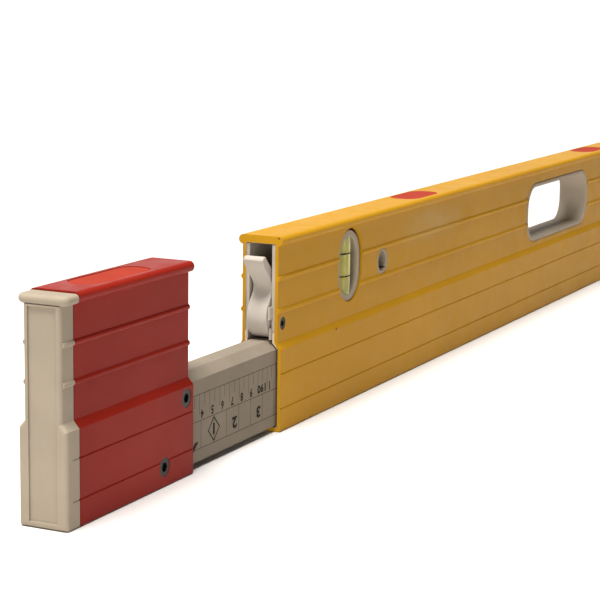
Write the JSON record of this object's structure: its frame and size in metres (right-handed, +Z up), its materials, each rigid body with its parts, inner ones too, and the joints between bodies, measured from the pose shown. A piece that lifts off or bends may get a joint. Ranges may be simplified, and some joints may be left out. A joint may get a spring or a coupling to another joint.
{
  "type": "extending box level",
  "caption": "Long box-section spirit level with a scaled bar that slides out of one end behind a standoff block and is held by a cam lever.",
  "frame": {"origin": "middle of the underside of the whole stored length, on the working face", "axes": "+Z up; X along the level, -X towards the extension, the lever and the standoff block; -Y the front, where the scale reads"},
  "size_m": [1.919, 0.0246, 0.1],
  "materials": {
    "yellow_coating": "semi-gloss powder coat on extruded aluminium",
    "red_coating": "semi-gloss powder coat on extruded aluminium",
    "grey_coating": "satin warm grey paint with a printed scale",
    "cream_plastic": "moulded, lightly textured",
    "ivory_plastic": "moulded, smooth satin",
    "guide_plastic": "low-friction moulding",
    "red_plastic": "moulded, semi-gloss",
    "vial_acrylic": "clear polished acrylic",
    "vial_liquid": "yellow-green liquid",
    "black_mark": "printed rings",
    "steel": "dark zinc plated",
    "black_steel": "black oxide",
    "brass": "turned",
    "rubber": "moulded"
  },
  "bodies": {
    "outer_level": {"outer_profile": "yellow_coating", "far_end_cap": "cream_plastic", "near_plumb_vial": "vial_acrylic", "near_plumb_liquid": "vial_liquid", "near_plumb_rings": "black_mark", "near_plumb_frame_front": "cream_plastic", "near_plumb_frame_back": "cream_plastic", "far_plumb_vial": "vial_acrylic", "far_plumb_liquid": "vial_liquid", "far_plumb_rings": "black_mark", "far_plumb_frame_front": "cream_plastic", "far_plumb_frame_back": "cream_plastic", "level_vial": "vial_acrylic", "level_liquid": "vial_liquid", "level_rings": "black_mark", "level_frame_front": "cream_plastic", "level_frame_back": "cream_plastic", "near_eyelet_front": "cream_plastic", "near_eyelet_back": "cream_plastic", "near_grip_front": "cream_plastic", "near_grip_back": "cream_plastic", "near_top_plug_1": "red_plastic", "near_top_plug_2": "red_plastic", "far_eyelet_front": "cream_plastic", "far_eyelet_back": "cream_plastic", "far_grip_front": "cream_plastic", "far_grip_back": "cream_plastic", "far_top_plug_1": "red_plastic", "far_top_plug_2": "red_plastic", "lever_housing": "ivory_plastic", "housing_screws": "black_steel", "lever_pin": "steel", "brake_shoe": "rubber", "front_guide": "guide_plastic", "stop_pins": "steel"},
    "extension": {"inner_bar": "grey_coating", "standoff_block": "red_coating", "block_top_plug": "red_plastic", "block_screws": "steel", "extension_cap": "cream_plastic", "rear_guide_shoe": "guide_plastic"},
    "lever": {"clamp_lever": "ivory_plastic", "lever_bush": "brass"}
  },
  "joints": [
    {"name": "extension_slide", "type": "slide", "parent": "outer_level", "child": "extension", "axis": [-1, 0, 0], "range_m": [-0.0902, 1.129]},
    {"name": "lever_pivot", "type": "hinge", "parent": "outer_level", "child": "lever", "pos_m": [-0.7546, 0, 0.0588], "axis": [0, -1, 0], "range_deg": [0, 75]}
  ]
}
